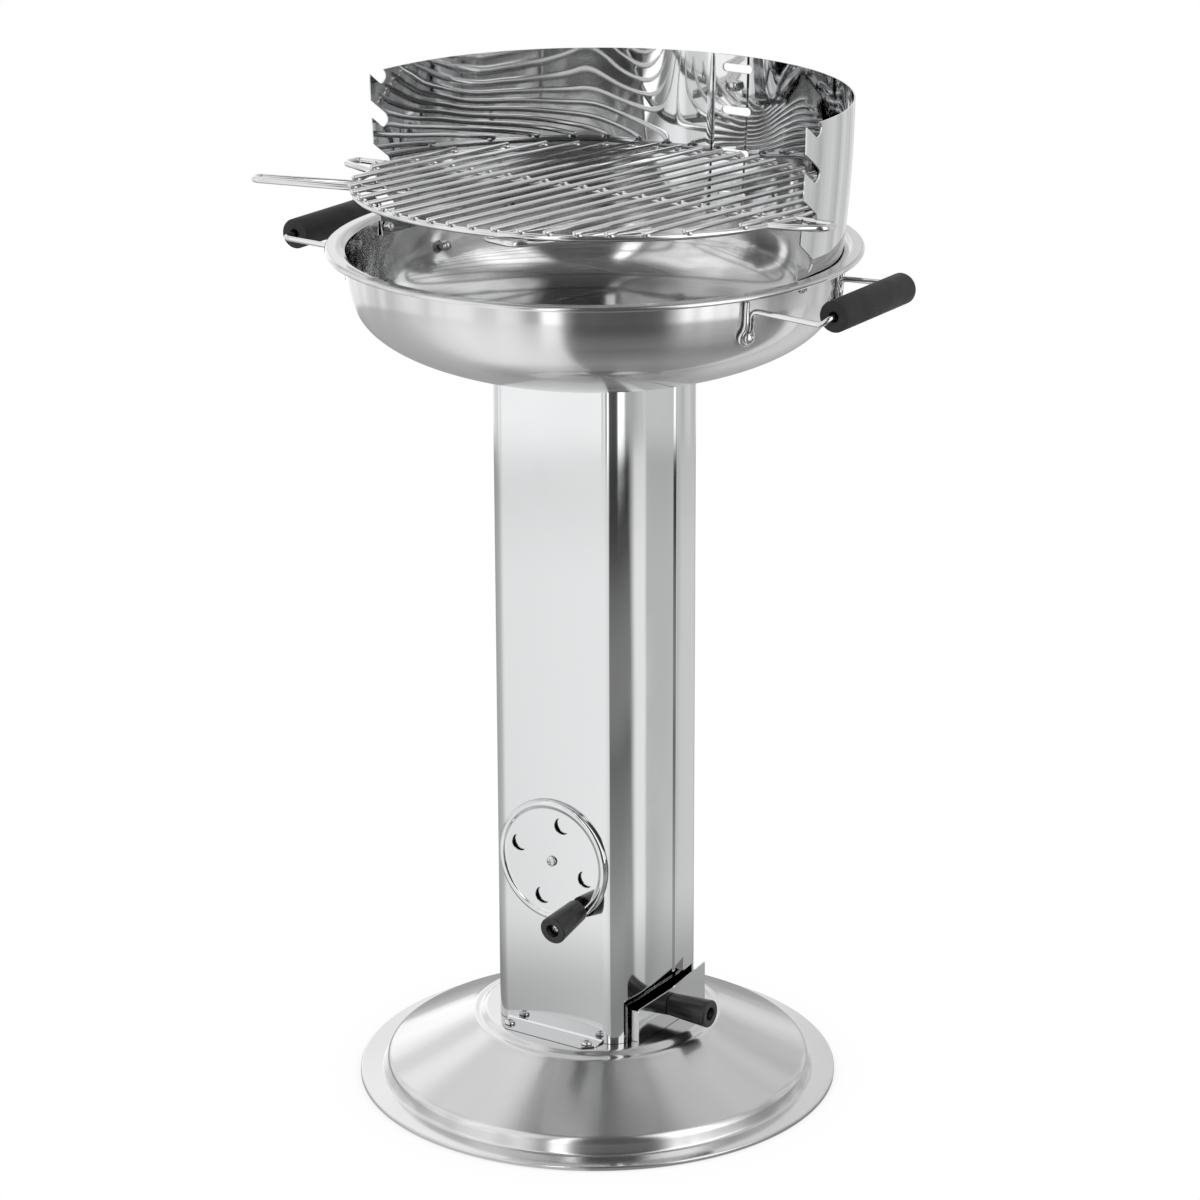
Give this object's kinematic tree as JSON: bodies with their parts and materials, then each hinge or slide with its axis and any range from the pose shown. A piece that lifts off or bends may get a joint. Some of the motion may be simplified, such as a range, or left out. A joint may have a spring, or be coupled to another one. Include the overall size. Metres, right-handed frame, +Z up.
{
  "type": "pedestal barbecue",
  "caption": "Round charcoal barbecue bowl on a square pedestal with a pressed foot, notched windshield, lift-out cooking grill, side handles, turning air damper and ash drawer.",
  "frame": {"origin": "centre of the round foot, on the ground", "axes": "+Z up, -Y towards the open front of the windshield and the air damper, +X towards the ash drawer"},
  "size_m": [0.4752, 0.38, 0.743],
  "materials": {
    "polished_steel": "mirror-rolled stainless sheet",
    "brushed_steel": "fine satin stainless sheet",
    "bright_steel": "bright drawn wire and plated fasteners",
    "black_plastic": "satin moulded black"
  },
  "bodies": {
    "root": {"base_plate": "brushed_steel", "column_front_shell": "polished_steel", "column_rear_shell": "polished_steel", "foot_front_left_screw": "bright_steel", "foot_front_left_nut": "bright_steel", "foot_front_right_screw": "bright_steel", "foot_front_right_nut": "bright_steel", "foot_rear_left_screw": "bright_steel", "foot_rear_left_nut": "bright_steel", "foot_rear_right_screw": "bright_steel", "foot_rear_right_nut": "bright_steel", "bowl": "brushed_steel", "bowl_front_left_screw": "bright_steel", "bowl_front_left_nut": "bright_steel", "bowl_front_right_screw": "bright_steel", "bowl_front_right_nut": "bright_steel", "bowl_rear_left_screw": "bright_steel", "bowl_rear_left_nut": "bright_steel", "bowl_rear_right_screw": "bright_steel", "bowl_rear_right_nut": "bright_steel", "windshield_right": "polished_steel", "windshield_left": "polished_steel", "windshield_right_end_screw": "bright_steel", "windshield_right_end_nut": "bright_steel", "windshield_left_end_screw": "bright_steel", "windshield_left_end_nut": "bright_steel", "windshield_rear_screw": "bright_steel", "windshield_rear_nut": "bright_steel", "windshield_lap_screw": "bright_steel", "windshield_lap_nut": "bright_steel", "left_handle_wire": "bright_steel", "left_handle_front_screw": "bright_steel", "left_handle_front_nut": "bright_steel", "left_handle_rear_screw": "bright_steel", "left_handle_rear_nut": "bright_steel", "right_handle_wire": "bright_steel", "right_handle_front_screw": "bright_steel", "right_handle_front_nut": "bright_steel", "right_handle_rear_screw": "bright_steel", "right_handle_rear_nut": "bright_steel", "vent_pivot_screw": "bright_steel", "vent_pivot_nut": "bright_steel"},
    "vent": {"vent_disc": "polished_steel", "vent_knob": "black_plastic", "vent_knob_screw": "bright_steel"},
    "drawer": {"ash_drawer_tray": "brushed_steel", "ash_drawer_front": "polished_steel", "ash_drawer_knob": "black_plastic", "ash_drawer_knob_screw": "bright_steel"},
    "grill": {"cooking_grill": "bright_steel"},
    "grate": {"charcoal_grate": "brushed_steel"},
    "left_handle_grip": {"left_grip": "black_plastic"},
    "right_handle_grip": {"right_grip": "black_plastic"}
  },
  "joints": [
    {"name": "vent_turn", "type": "hinge", "parent": "root", "child": "vent", "pos_m": [0, -0.0606, 0.187], "axis": [0, -1, 0], "continuous": true},
    {"name": "ash_drawer_slide", "type": "slide", "parent": "root", "child": "drawer", "axis": [1, 0, 0], "range_m": [-0.0075, 0.1]},
    {"name": "grill_lift", "type": "slide", "parent": "root", "child": "grill", "axis": [0, -0.8192, 0.5736], "range_m": [0, 0.08]},
    {"name": "grate_lift", "type": "slide", "parent": "root", "child": "grate", "axis": [0, 0, 1], "range_m": [0, 0.09]},
    {"name": "left_grip_spin", "type": "hinge", "parent": "root", "child": "left_handle_grip", "pos_m": [-0.2266, 0, 0.626], "axis": [0, 1, 0], "continuous": true},
    {"name": "right_grip_spin", "type": "hinge", "parent": "root", "child": "right_handle_grip", "pos_m": [0.2266, 0, 0.626], "axis": [0, 1, 0], "continuous": true}
  ]
}
